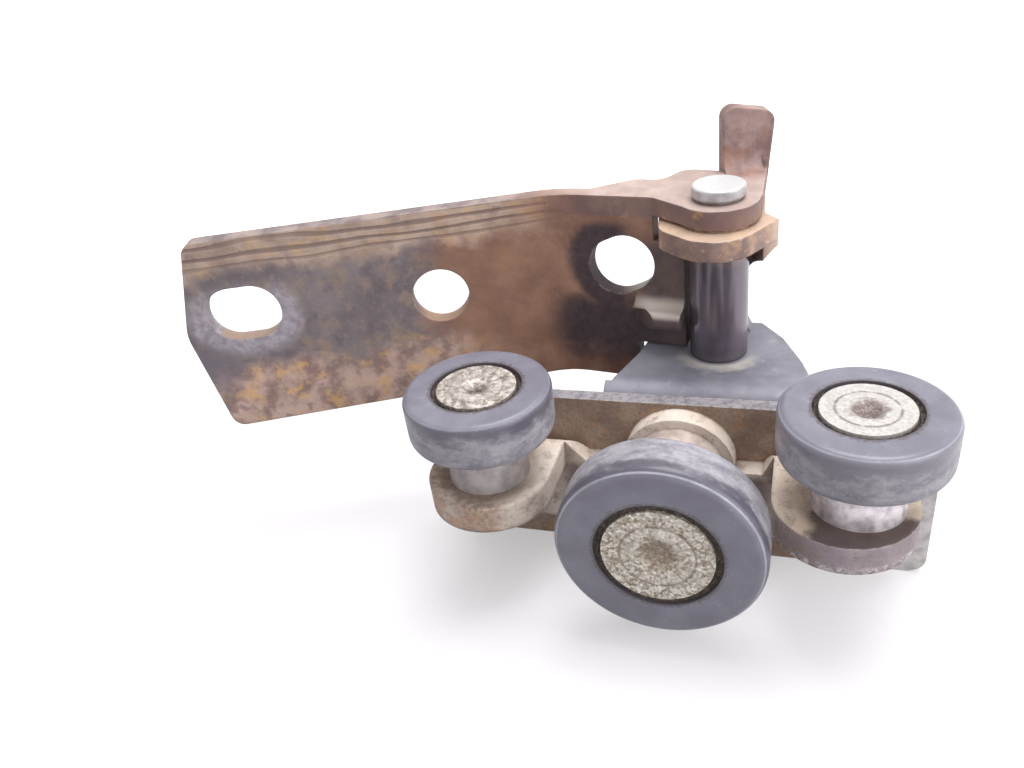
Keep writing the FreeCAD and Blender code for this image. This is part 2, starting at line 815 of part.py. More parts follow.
def roller_set(kind, side, *frames):
    """Stud, ball bearing and tyre of one roller, its outer face on the frame's XY plane."""
    tag = kind.title() + side.title()
    suffix = f"_{side}" if side else ""
    width = f"{kind}_width"
    journal = f"{kind}_journal / 2"
    hub = f"({journal} + press_gap + {kind}_inner_wall)"
    race = f"({hub} + {kind}_race_gap)"
    rim = f"({race} + {kind}_outer_wall)"
    pitch = f"({hub} + {kind}_race_gap / 2)"
    lip_bore = f"({hub} + {kind}_lip_gap)"
    middle = f"-{width} / 2"
    shank = f"({journal} - shank_shoulder / 2)"
    ear_face = f"(-{width} - {kind}_neck_length)"
    seat_gauge = "axle_ear_gauge" if kind == "guide" else "carrier_gauge"
    tail_face = f"({ear_face} - {seat_gauge})"

    stud = revolve(
        tag + "Stud",
        [
            ("0", "-dimple_depth"),
            (f"{kind}_dimple / 4", f"-dimple_depth * {DIMPLE_SHARE}"),
            (f"{kind}_dimple / 2", "0"),
            (journal, "0"),
            (journal, f"-{width}"),
            (f"{kind}_neck_top / 2", f"-{width}"),
            (f"{kind}_neck_foot / 2", ear_face),
            (shank, ear_face),
            (shank, tail_face),
            (f"{shank} + tail_overhang", tail_face),
            (f"{shank} + tail_overhang", f"{tail_face} - tail_height / 2"),
            (f"{shank} + tail_overhang / 2", f"{tail_face} - tail_height"),
            ("0", f"{tail_face} - tail_height"),
        ],
    )
    node(f"{kind}_stud{suffix}", stud, *frames)

    groove = f"{kind}_ball / 2 + race_clearance"
    inner = cut(
        tag + "InnerRing",
        ring(tag + "InnerBlank", hub, f"{journal} + press_gap", f"-{width}", "0"),
        torus(tag + "InnerGroove", pitch, groove, frame(z=middle)),
    )
    node(f"{kind}_inner_ring{suffix}", inner, *frames)

    outer = cut(
        tag + "OuterRing",
        ring(tag + "OuterBlank", rim, race, f"-{width} + {kind}_lip", f"-{kind}_lip"),
        torus(tag + "OuterGroove", pitch, groove, frame(z=middle)),
    )
    node(f"{kind}_outer_ring{suffix}", outer, *frames)

    tread = f"{kind}_diameter / 2"
    seat = f"{rim} + press_gap"
    tyre_blank = revolve(
        tag + "TyreBlank",
        [
            (lip_bore, f"-{width}"),
            (tread, f"-{width}"),
            (tread, "0"),
            (lip_bore, "0"),
            (lip_bore, f"-{kind}_lip"),
            (seat, f"-{kind}_lip"),
            (seat, f"-{width} + {kind}_lip"),
            (lip_bore, f"-{width} + {kind}_lip"),
        ],
    )
    tyre = fillet(
        tag + "Tyre",
        tyre_blank,
        [
            (rim_at(size(tread), 0), size(f"{kind}_edge")),
            (rim_at(size(tread), -size(width)), size(f"{kind}_heel")),
        ],
    )
    node(f"{kind}_roller{suffix}", tyre, *frames)

    balls = doc.addObject("Part::Compound", tag + "Balls")
    balls.Links = ball_ring(tag, f"{kind}_ball / 2", pitch, middle)
    node(f"{kind}_balls{suffix}", balls, *frames)


def torus(name, pitch, radius, *frames):
    """Ring groove cutter about Z."""
    solid = doc.addObject("Part::Torus", name)
    solid.setExpression("Radius1", bound(pitch))
    solid.setExpression("Radius2", bound(radius))
    return place(solid, *frames)


def ball_ring(tag, radius, pitch, level):
    """As many balls as the pitch circle takes, evenly spaced."""
    count = int(math.pi * size(pitch) / (size(radius) * size("ball_spacing")))
    balls = []
    for index in range(count):
        angle = f"{index} * 360 / {count} * 1 deg"
        ball = doc.addObject("Part::Sphere", f"{tag}Ball{index}")
        ball.setExpression("Radius", bound(radius))
        place(ball, frame(f"{pitch} * cos({angle})", f"{pitch} * sin({angle})", level))
        balls.append(ball)
    return balls


door_bracket()
hinge()
hinge_yoke()
carriage_plate()
roller_carrier()
roller_set("guide", "left", CARRIAGE, frame("-carriage_shift - axle_half", "-axle_setback", "guide_rise"))
roller_set("guide", "right", CARRIAGE, frame("-carriage_shift + axle_half", "-axle_setback", "guide_rise"))
roller_set("load", "", CARRIAGE, frame("load_x", "-load_face", "-load_drop", tilt=UPRIGHT))
doc.recompute()

for item in doc.Objects:
    if "Invalid" in item.State or "Error" in item.State:
        raise RuntimeError(f"{item.Name} did not build: {item.State}")
for name, piece in NODES.items():
    if piece.Shape.isNull() or not piece.Shape.isValid() or not piece.Shape.Solids:
        raise RuntimeError(f"{name} is not a valid solid")

os.makedirs("parts", exist_ok=True)
for name, piece in NODES.items():
    piece.Shape.exportStep(f"parts/{name}.step")
    print(name, len(piece.Shape.Solids), round(piece.Shape.Volume, 1))
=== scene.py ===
"""Looks of a used sliding-door roller carriage: finishes, bearing grease, floor, light and camera."""

import json
import math

import bmesh
import bpy
from mathutils import Matrix, Vector, noise


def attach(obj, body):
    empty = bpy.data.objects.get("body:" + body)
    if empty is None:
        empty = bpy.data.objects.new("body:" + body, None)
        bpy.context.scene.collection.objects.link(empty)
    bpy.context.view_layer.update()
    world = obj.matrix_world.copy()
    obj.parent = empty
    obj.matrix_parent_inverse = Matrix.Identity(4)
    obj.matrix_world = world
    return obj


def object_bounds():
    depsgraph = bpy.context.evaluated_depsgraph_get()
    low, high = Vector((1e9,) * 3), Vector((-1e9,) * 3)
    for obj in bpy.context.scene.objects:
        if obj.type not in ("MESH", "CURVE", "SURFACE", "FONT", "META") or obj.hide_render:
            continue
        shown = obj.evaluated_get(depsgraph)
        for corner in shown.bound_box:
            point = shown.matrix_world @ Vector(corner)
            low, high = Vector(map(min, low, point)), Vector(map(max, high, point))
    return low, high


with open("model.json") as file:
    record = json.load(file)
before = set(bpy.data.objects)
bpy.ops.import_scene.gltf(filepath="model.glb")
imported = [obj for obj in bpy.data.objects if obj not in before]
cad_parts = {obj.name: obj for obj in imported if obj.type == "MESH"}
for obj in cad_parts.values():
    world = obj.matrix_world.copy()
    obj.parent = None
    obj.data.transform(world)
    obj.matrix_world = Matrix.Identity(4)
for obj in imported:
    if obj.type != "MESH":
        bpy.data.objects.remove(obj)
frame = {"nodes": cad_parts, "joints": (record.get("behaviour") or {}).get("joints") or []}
CAD_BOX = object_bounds()

MM = 0.001
NODES = frame["nodes"]
JOINTS = {joint["name"]: joint for joint in frame["joints"]}
UP = Vector((0, 0, 1))

# The camera stands where the photograph was taken from, in the part's own frame.
CAMERA_AT = Vector((15.28, -148.87, 67.07)) * MM
CAMERA_AZIMUTH = math.radians(1.805)
CAMERA_ELEVATION = math.radians(31.195)
CAMERA_ROLL = math.radians(-8.452)
CAMERA_LENS = 30.02
SENSOR_WIDTH = 36.0

# Places on the bracket that its wear follows, in millimetres of the part's frame.
END_SLOT = ((-38.8, -3.2, 1.8), (-35.2, -3.2, 1.8))
WING_SLOT = ((32.4, -8.2, 3.5), (34.1, -9.1, 3.9))
HINGE = Vector(JOINTS["carriage_hinge"]["pos_m"]) / MM
GROOVE_TURN = 2 * math.pi / 1.7

# Directions of the carriage as it rests: along its plate, and out towards the load roller.
REST_ANGLE = math.radians(-19.8)
CARRIAGE_RUN = Vector((math.cos(REST_ANGLE), math.sin(REST_ANGLE), 0))
CARRIAGE_FRONT = Vector((math.sin(REST_ANGLE), -math.cos(REST_ANGLE), 0))


def tone(red, green, blue):
    """A colour written as screen values from 0 to 255, as the linear values that shaders take."""
    shares = (value / 255 for value in (red, green, blue))
    linear = (s / 12.92 if s <= 0.04045 else ((s + 0.055) / 1.055) ** 2.4 for s in shares)
    return (*linear, 1.0)


class Finish:
    """One material. Its methods add nodes and return an output; lengths are the part's millimetres."""

    def __init__(self, name):
        self.material = bpy.data.materials.new(name)
        self.material.use_nodes = True
        self.tree = self.material.node_tree
        self.shader = self.tree.nodes["Principled BSDF"]
        self.coordinates = self.tree.nodes.new("ShaderNodeTexCoord")
        self.place = self.vector("SCALE", self.coordinates.outputs["Object"], scale=1 / MM)

    def add(self, kind, **settings):
        made = self.tree.nodes.new(f"ShaderNode{kind}")
        for key, value in settings.items():
            setattr(made, key, value)
        return made

    def feed(self, socket, value):
        if isinstance(value, bpy.types.NodeSocket):
            self.tree.links.new(value, socket)
        else:
            socket.default_value = value

    def vector(self, operation, first, second=None, scale=None):
        made = self.add("VectorMath", operation=operation)
        self.feed(made.inputs[0], first)
        if second is not None:
            self.feed(made.inputs[1], second)
        if scale is not None:
            self.feed(made.inputs["Scale"], scale)
        gives_number = operation in ("DOT_PRODUCT", "LENGTH", "DISTANCE")
        return made.outputs["Value" if gives_number else "Vector"]

    def sum(self, operation, first, second=0.0):
        """Arithmetic on one or two numbers."""
        made = self.add("Math", operation=operation)
        self.feed(made.inputs[0], first)
        self.feed(made.inputs[1], second)
        return made.outputs[0]

    def rise(self, value, low, high):
        """0 below low, 1 above high, smooth between; low above high turns it round."""
        made = self.add("MapRange", interpolation_type="SMOOTHSTEP")
        turned = low > high
        self.feed(made.inputs["Value"], value)
        self.feed(made.inputs["From Min"], min(low, high))
        self.feed(made.inputs["From Max"], max(low, high))
        self.feed(made.inputs["To Min"], 1.0 if turned else 0.0)
        self.feed(made.inputs["To Max"], 0.0 if turned else 1.0)
        return made.outputs["Result"]

    def along(self, direction):
        """How far out along a direction of the part's frame."""
        return self.vector("DOT_PRODUCT", self.place, tuple(direction))

    def facing(self, direction):
        """How far the surface faces a direction of the part's frame, from -1 to 1."""
        return self.vector("DOT_PRODUCT", self.coordinates.outputs["Normal"], tuple(direction))

    def stretched(self, axis, factor):
        """Places with distances along an axis multiplied, so that marks on them run round it."""
        run = self.vector("DOT_PRODUCT", self.place, tuple(axis))
        extra = self.vector("SCALE", tuple(axis * (factor - 1)), scale=run)
        return self.vector("ADD", self.place, extra)

    def noise(self, size, detail, roughness, stretch=(1, 1, 1), shift=0.0, at=None):
        """Cloudy noise from 0 to 1 with features of that size; the shift tells one from another."""
        spread = self.vector("MULTIPLY", self.place if at is None else at, stretch)
        moved = self.vector("ADD", spread, (shift, shift * 0.7, -shift))
        made = self.add("TexNoise")
        self.feed(made.inputs["Vector"], moved)
        self.feed(made.inputs["Scale"], 1 / size)
        self.feed(made.inputs["Detail"], detail)
        self.feed(made.inputs["Roughness"], roughness)
        return made.outputs["Fac"]

    def flakes(self, size):
        """Grains that each have one brightness of their own, from 0 to 1."""
        made = self.add("TexVoronoi")
        self.feed(made.inputs["Vector"], self.place)
        self.feed(made.inputs["Scale"], 1 / size)
        return self.vector("DOT_PRODUCT", made.outputs["Color"], (1, 0, 0))

    def from_point(self, point):
        return self.vector("DISTANCE", self.place, tuple(point))

    def from_line(self, start, end):
        """Distance from the straight stretch between two points."""
        run = Vector(end) - Vector(start)
        away = self.vector("SUBTRACT", self.place, tuple(start))
        share = self.vector("DOT_PRODUCT", away, tuple(run / run.length_squared))
        held = self.sum("MINIMUM", self.sum("MAXIMUM", share, 0.0), 1.0)
        nearest = self.vector("SCALE", tuple(run), scale=held)
        return self.vector("LENGTH", self.vector("SUBTRACT", away, nearest))

    def from_axis(self, point, direction):
        """Distance from an endless axis."""
        away = self.vector("SUBTRACT", self.place, tuple(point))
        return self.vector("LENGTH", self.vector("CROSS_PRODUCT", away, tuple(direction)))

    def edges(self, radius):
        """Near 1 on edges that have lost their sharpness, 0 on flat faces."""
        plain = self.add("NewGeometry").outputs["Normal"]
        return self.rise(self.vector("DOT_PRODUCT", self.rounded(radius), plain), 0.995, 0.86)

    def rounded(self, radius):
        """The surface's direction as if its edges were rounded off."""
        made = self.add("Bevel", samples=6)
        self.feed(made.inputs["Radius"], radius * MM)
        return made.outputs["Normal"]

    def hollows(self, reach):
        """Near 1 in corners of the piece itself, where dirt stays."""
        made = self.add("AmbientOcclusion", samples=8, only_local=True)
        self.feed(made.inputs["Distance"], reach * MM)
        return self.rise(made.outputs["AO"], 0.95, 0.45)

    def blend(self, share, first, second):
        """The first colour at a share of 0, the second at 1."""
        made = self.add("Mix", data_type="RGBA")
        self.feed(made.inputs["Factor"], share)
        self.feed(made.inputs[6], first)
        self.feed(made.inputs[7], second)
        return made.outputs[2]

    def level(self, share, first, second):
        """A number that goes from first to second as share goes from 0 to 1."""
        made = self.add("MapRange")
        self.feed(made.inputs["Value"], share)
        self.feed(made.inputs["To Min"], first)
        self.feed(made.inputs["To Max"], second)
        return made.outputs["Result"]

    def both(self, first, *others):
        """Where all of several shares hold."""
        for other in others:
            first = self.sum("MULTIPLY", first, other)
        return first

    def ragged(self, value, noise, wander, low, high):
        """As rise, with a border that wanders by up to that distance either way."""
        return self.rise(self.sum("ADD", value, self.level(noise, -wander, wander)), low, high)

    def marked(self, colour, noise, low, high, share, mark):
        """A colour with marks of another where the noise rises from low to high."""
        return self.blend(self.both(self.rise(noise, low, high), share), colour, mark)

    def bump(self, height, depth, normal=None):
        """Relief of that depth in millimetres."""
        made = self.add("Bump")
        self.feed(made.inputs["Height"], height)
        self.feed(made.inputs["Distance"], depth * MM)
        if normal is not None:
            self.feed(made.inputs["Normal"], normal)
        return made.outputs["Normal"]

    def done(self, colour, roughness, metallic, normal, specular=0.5):
        self.feed(self.shader.inputs["Base Color"], colour)
        self.feed(self.shader.inputs["Roughness"], roughness)
        self.feed(self.shader.inputs["Metallic"], metallic)
        self.feed(self.shader.inputs["Normal"], normal)
        self.shader.inputs["Specular IOR Level"].default_value = specular
        return self.material


def wear(material, *names):
    """Puts a finish on CAD nodes."""
    for name in names:
        NODES[name].data.materials.clear()
        NODES[name].data.materials.append(material)


def bracket_finish():
    """Rust that differs from place to place on the bracket, as years of use have left it."""
    f = Finish("bracket_rust")
    height = f.along(UP)
    across = f.along((1, 0, 0))
    broad = f.noise(20.0, 4, 0.55, shift=3)
    cloud = f.noise(9.0, 6, 0.6)
    lumps = f.noise(4.5, 6, 0.6, shift=31)
    fine = f.noise(1.5, 5, 0.65, shift=7)
    drift = f.noise(14.0, 3, 0.5, stretch=(0.25, 1, 1), shift=53)
    patches = f.noise(4.2, 6, 0.62, shift=71)

    # Bare dark steel at the door end, brown further on, orange about the bend.
    brown = f.blend(f.rise(cloud, 0.34, 0.66), tone(133, 99, 85), tone(164, 128, 110))
    orange = f.blend(f.rise(broad, 0.4, 0.62), tone(126, 94, 80), tone(157, 120, 99))
    orange = f.marked(orange, patches, 0.5, 0.66, 0.5, tone(128, 96, 87))
    slate = f.blend(f.rise(cloud, 0.34, 0.66), tone(112, 102, 106), tone(137, 126, 128))
    slate = f.marked(slate, fine, 0.52, 0.74, 0.5, tone(155, 145, 148))
    slate = f.marked(slate, patches, 0.48, 0.66, 0.6, tone(160, 139, 121))
    slate = f.marked(slate, lumps, 0.54, 0.68, 0.6, tone(96, 87, 96))
    bare_side = f.ragged(across, cloud, 12, 2.0, -7.0)
    colour = f.blend(bare_side, brown, slate)
    warm = f.ragged(f.from_point((12, -3, -1)), lumps, 7, 16, 6)
    colour = f.blend(f.both(warm, 0.85), colour, orange)

    # Flaking pale rust along the foot.
    low = f.ragged(height, cloud, 9, -6.5, -13.0)
    foot = f.blend(f.rise(lumps, 0.36, 0.62), tone(153, 125, 118), tone(209, 180, 168))
    foot = f.marked(foot, fine, 0.5, 0.72, 0.4, tone(211, 187, 173))
    foot = f.marked(foot, patches, 0.5, 0.62, 0.6, tone(234, 187, 126))
    foot = f.marked(foot, patches, 0.42, 0.34, 0.6, tone(135, 110, 110))
    colour = f.blend(f.both(low, f.rise(across, 14, -4)), colour, foot)

    # Drawn grooves along the top.
    wavy = f.sum("ADD", height, f.level(drift, -3.4, 3.4))
    groove = f.sum("SINE", f.sum("MULTIPLY", wavy, GROOVE_TURN))
    groove = f.both(f.rise(groove, -0.2, 1.0), f.rise(drift, 0.3, 0.6))
    groove = f.both(groove, f.ragged(height, drift, 3, 10.4, 13.4))
    band = f.ragged(height, cloud, 4.0, 8.4, 11.6)
    stripe = f.blend(f.rise(lumps, 0.34, 0.66), tone(166, 142, 128), tone(200, 175, 160))
    stripe = f.marked(stripe, patches, 0.5, 0.64, 0.6, tone(209, 171, 124))
    stripe = f.marked(stripe, patches, 0.42, 0.34, 0.6, tone(139, 117, 115))
    stripe = f.blend(f.both(groove, 0.7), stripe, tone(119, 99, 96))
    flat = f.rise(across, 26, 10)
    colour = f.blend(f.both(band, flat, 0.9), colour, stripe)

    # The seat that a bolt has rubbed about the end slot, and the dark corner below it.
    ring = f.sum("ADD", f.from_line(*END_SLOT), f.level(cloud, -2.6, 2.6))
    pale = f.blend(f.rise(fine, 0.34, 0.68), tone(155, 146, 157), tone(196, 188, 200))
    seat_side = f.ragged(height, cloud, 3, 8.5, 3.5)
    colour = f.blend(f.both(f.rise(ring, 10.4, 7.2), seat_side, 0.75), colour, pale)
    corner = f.ragged(f.from_point((-47, -3, -10)), lumps, 3, 9, 3)
    colour = f.blend(f.both(corner, 0.7), colour, tone(112, 106, 119))

    # Grime about the wing's slot and a dark patch below it, painted shade beside the sleeve, a painted
    # shadow under the lip and a painted highlight on the lip's upward face.
    seat = f.sum("ADD", f.from_line(*WING_SLOT), f.level(cloud, -2, 2))
    left = f.ragged(across, lumps, 2, 37, 32)
    stain = f.sum("ADD", f.from_line((26, -5, -9), (35, -10, -8)), f.level(cloud, -6, 6))
    shade = f.sum("MAXIMUM", f.both(f.rise(seat, 10.4, 8.0), left), f.rise(stain, 10.0, 2.5))
    under_ear = f.rise(height, 12.4, 10.4)
    wing = f.ragged(across, cloud, 6, 15.0, 24.0)
    grime = f.blend(f.rise(fine, 0.35, 0.65), tone(47, 39, 49), tone(65, 55, 64))
    beside = f.both(f.rise(across, 33, 38), f.rise(height, 10, 7))
    # Painted shade beside the sleeve.
    sleeve_shade = f.blend(f.rise(cloud, 0.36, 0.64), tone(72, 63, 66), tone(101, 91, 92))
    colour = f.blend(f.both(beside, 0.85), colour, sleeve_shade)
    colour = f.blend(f.both(shade, under_ear, wing, 0.92), colour, grime)
    # Painted shadow under the lip.
    under_lip_shadow = f.both(beside, f.rise(height, -1.5, -4.5))
    colour = f.blend(f.both(under_lip_shadow, 0.6), colour, tone(76, 65, 69))
    # Painted highlight on the lip where it faces up.
    lip_highlight = f.both(beside, f.rise(height, 1.0, -1.0), f.rise(f.facing(UP), 0.2, 0.9))
    colour = f.blend(f.both(lip_highlight, f.level(cloud, 0.5, 0.9)), colour, tone(216, 206, 197))

    # The plate's upper edge and the lower walls of its openings.
    plate_edge = f.rise(f.facing(UP), 0.55, 0.85)
    dull = f.blend(f.rise(lumps, 0.36, 0.64), tone(119, 106, 108), tone(160, 144, 139))
    colour = f.blend(f.both(plate_edge, f.both(flat, f.rise(height, 14, 15))), colour, dull)
    wall = f.both(plate_edge, f.rise(height, 12, 10))
    colour = f.blend(f.both(wall, flat, 0.8), colour, tone(171, 142, 119))

    # The upper ear, tan above and darker round its rim.
    ear = f.both(f.rise(across, 18, 30), f.rise(height, 12.6, 13.2))
    tan = f.blend(f.rise(cloud, 0.34, 0.66), tone(166, 145, 138), tone(191, 170, 162))
    tan = f.marked(tan, patches, 0.5, 0.64, 0.45, tone(166, 146, 146))
    tan = f.marked(tan, fine, 0.54, 0.72, 0.3, tone(160, 135, 121))
    colour = f.blend(f.both(ear, plate_edge), colour, tan)
    rim = f.blend(f.rise(cloud, 0.34, 0.64), tone(119, 94, 91), tone(144, 117, 107))
    rim = f.marked(rim, lumps, 0.5, 0.66, 0.6, tone(128, 112, 119))
    rim = f.marked(rim, patches, 0.54, 0.64, 0.7, tone(196, 153, 106))
    colour = f.blend(f.both(ear, f.rise(f.facing(UP), 0.5, 0.2)), colour, rim)

    # The finger that stands up behind the pin.
    finger = f.both(f.rise(across, 50.5, 53.5), f.rise(f.along((0, 1, 0)), -11.0, -6.0))
    mauve = f.blend(f.rise(lumps, 0.34, 0.66), tone(128, 103, 101), tone(169, 143, 138))
    mauve = f.marked(mauve, patches, 0.5, 0.64, 0.5, tone(160, 119, 99))
    colour = f.blend(finger, colour, mauve)

    rubbed = f.both(f.edges(0.5), f.rise(fine, 0.4, 0.62))
    colour = f.blend(f.both(rubbed, f.level(beside, 0.4, 0.0)), colour, tone(211, 187, 171))
    colour = f.blend(f.both(f.hollows(3.0), 0.4), colour, tone(72, 56, 54))

    relief = f.sum("ADD", f.sum("MULTIPLY", fine, 0.5), f.sum("MULTIPLY", lumps, 0.9))
    relief = f.sum("SUBTRACT", relief, f.both(groove, band, flat, 0.8))
    normal = f.bump(relief, 0.2, f.rounded(0.45))
    return f.done(colour, f.level(fine, 0.5, 0.8), 0.08, normal, 0.4)


def pin_finish():
    """Bright steel, scratched on the head, with a painted shadow at its foot."""
    f = Finish("pin_steel")
    fine = f.noise(0.6, 5, 0.65)
    cloud = f.noise(4.0, 4, 0.55, shift=15)
    top = f.rise(f.facing(UP), 0.4, 0.9)
    side = f.blend(f.rise(cloud, 0.34, 0.66), tone(150, 147, 148), tone(192, 189, 190))
    colour = f.blend(top, side, tone(206, 205, 206))
    colour = f.marked(colour, fine, 0.56, 0.72, 0.35, tone(150, 143, 138))
    # Painted shadow at the foot, under the head.
    foot = f.rise(f.along(UP), 17.5, 16.6)
    colour = f.blend(f.both(foot, 0.6), colour, tone(104, 92, 88))
    normal = f.bump(fine, 0.03, f.rounded(0.3))
    return f.done(colour, f.level(fine, 0.36, 0.52), 0.3, normal)


def sleeve_finish():
    """A smooth black bush, rusty at the top and darker at the foot."""
    f = Finish("sleeve_black")
    fine = f.noise(0.8, 5, 0.6)
    rub = f.noise(6.0, 4, 0.5, stretch=(1, 1, 0.4), shift=5)
    colour = f.blend(f.rise(rub, 0.36, 0.66), tone(81, 72, 83), tone(101, 91, 102))
    ends = f.ragged(f.along(UP), rub, 2.4, 5.4, 8.6)
    colour = f.blend(f.both(ends, 0.7), colour, tone(155, 130, 117))
    foot = f.ragged(f.along(UP), rub, 2, -8.0, -11.5)
    colour = f.blend(f.both(foot, 0.5), colour, tone(54, 47, 56))
    normal = f.bump(fine, 0.02, f.rounded(0.4))
    return f.done(colour, f.level(rub, 0.14, 0.28), 0.15, normal, 1.0)


def washer_finish():
    """Greasy steel."""
    f = Finish("washer_greasy")
    fine = f.noise(1.1, 5, 0.65)
    colour = f.blend(f.rise(fine, 0.35, 0.65), tone(106, 85, 72), tone(171, 148, 128))
    return f.done(colour, f.level(fine, 0.4, 0.7), 0.5, f.bump(fine, 0.05))


def yoke_finish():
    """Slate grey sheet below, rust towards the head, with painted highlights on the head's top and right
    side.
    """
    f = Finish("yoke_steel")
    height = f.along(UP)
    cloud = f.noise(8.0, 5, 0.55)
    fine = f.noise(1.3, 5, 0.65, shift=3)
    lumps = f.noise(3.4, 6, 0.6, shift=17)
    patches = f.noise(4.5, 4, 0.55, shift=61)
    top = f.rise(f.facing(UP), 0.5, 0.9)

    slate = f.blend(f.rise(cloud, 0.32, 0.68), tone(116, 115, 126), tone(142, 140, 151))
    slate = f.marked(slate, lumps, 0.54, 0.72, 0.3, tone(189, 184, 189))
    smear = f.rise(f.noise(5.0, 5, 0.6, stretch=(0.5, 1.4, 1), shift=37), 0.56, 0.7)
    slate = f.blend(f.both(smear, 0.35), slate, tone(112, 108, 117))
    rust = f.blend(f.rise(lumps, 0.34, 0.68), tone(130, 106, 100), tone(164, 136, 122))
    rust = f.marked(rust, cloud, 0.5, 0.66, 0.6, tone(130, 112, 115))
    rust = f.marked(rust, patches, 0.48, 0.66, 0.5, tone(216, 175, 135))
    rust = f.marked(rust, fine, 0.56, 0.7, 0.4, tone(234, 207, 182))
    # Painted highlights: the head's upward faces and its right-hand side lightened as if lit from above and
    # from the right.
    rust = f.blend(f.both(top, 0.5), rust, tone(234, 205, 178))
    outer = f.both(f.rise(f.along((1, 0, 0)), 54.5, 57.5), f.rise(f.facing(UP), 0.5, 0.2))
    rust = f.blend(f.both(outer, 0.6), rust, tone(234, 205, 184))
    head = f.ragged(height, lumps, 2, 1.0, 5.5)
    colour = f.blend(head, slate, rust)

    # A pale arc on the base about the sleeve's foot, towards the carriage's front.
    foot = f.from_axis(HINGE, UP)
    pale_arc = f.both(f.rise(foot, 5.2, 6.0), f.ragged(foot, lumps, 2.4, 8.8, 5.8))
    base = f.rise(height, -9.0, -11.0)
    front = f.rise(f.along(CARRIAGE_FRONT), -2.0, 4.0)
    colour = f.blend(f.both(pale_arc, base, front, 0.7), colour, tone(223, 216, 207))

    rubbed = f.both(f.edges(0.45), f.rise(fine, 0.4, 0.6))
    colour = f.blend(f.both(rubbed, 0.4), colour, tone(223, 214, 207))
    colour = f.blend(f.both(f.hollows(2.5), 0.4), colour, tone(83, 74, 76))
    relief = f.sum("ADD", f.both(fine, 0.4), f.both(lumps, head, 1.2))
    normal = f.bump(relief, 0.14, f.rounded(0.5))
    return f.done(colour, f.level(fine, 0.42, 0.6), 0.15, normal)


def plate_finish():
    """Brown dirt, a rubbed upper edge and a bare right end."""
    f = Finish("plate_brown")
    cloud = f.noise(7.0, 6, 0.6)
    fine = f.noise(1.0, 5, 0.68, shift=11)
    lumps = f.noise(2.8, 6, 0.62, shift=23)
    grit = f.noise(0.5, 4, 0.7, shift=31)
    dirt = f.blend(f.rise(cloud, 0.36, 0.66), tone(146, 125, 112), tone(175, 154, 139))
    dirt = f.marked(dirt, grit, 0.4, 0.7, 0.5, tone(101, 85, 74))
    dirt = f.marked(dirt, lumps, 0.52, 0.68, 0.6, tone(187, 146, 108))
    dirt = f.marked(dirt, fine, 0.6, 0.72, 0.35, tone(202, 189, 175))
    steel = f.blend(f.rise(fine, 0.34, 0.6), tone(119, 115, 120), tone(160, 155, 161))
    top = f.rise(f.facing(UP), 0.5, 0.85)
    colour = f.blend(top, dirt, steel)
    right = f.ragged(f.along(CARRIAGE_RUN), lumps, 3, 79.0, 83.0)
    bare = f.blend(f.rise(lumps, 0.36, 0.64), tone(202, 198, 198), tone(241, 238, 238))
    colour = f.blend(f.both(right, 0.85), colour, bare)
    rubbed = f.both(f.edges(0.4), f.rise(fine, 0.36, 0.58))
    colour = f.blend(f.both(rubbed, 0.6), colour, tone(223, 214, 205))
    relief = f.sum("ADD", f.both(fine, 0.6), lumps)
    return f.done(colour, f.level(fine, 0.55, 0.85), 0.1, f.bump(relief, 0.1, f.rounded(0.25)), 0.4)


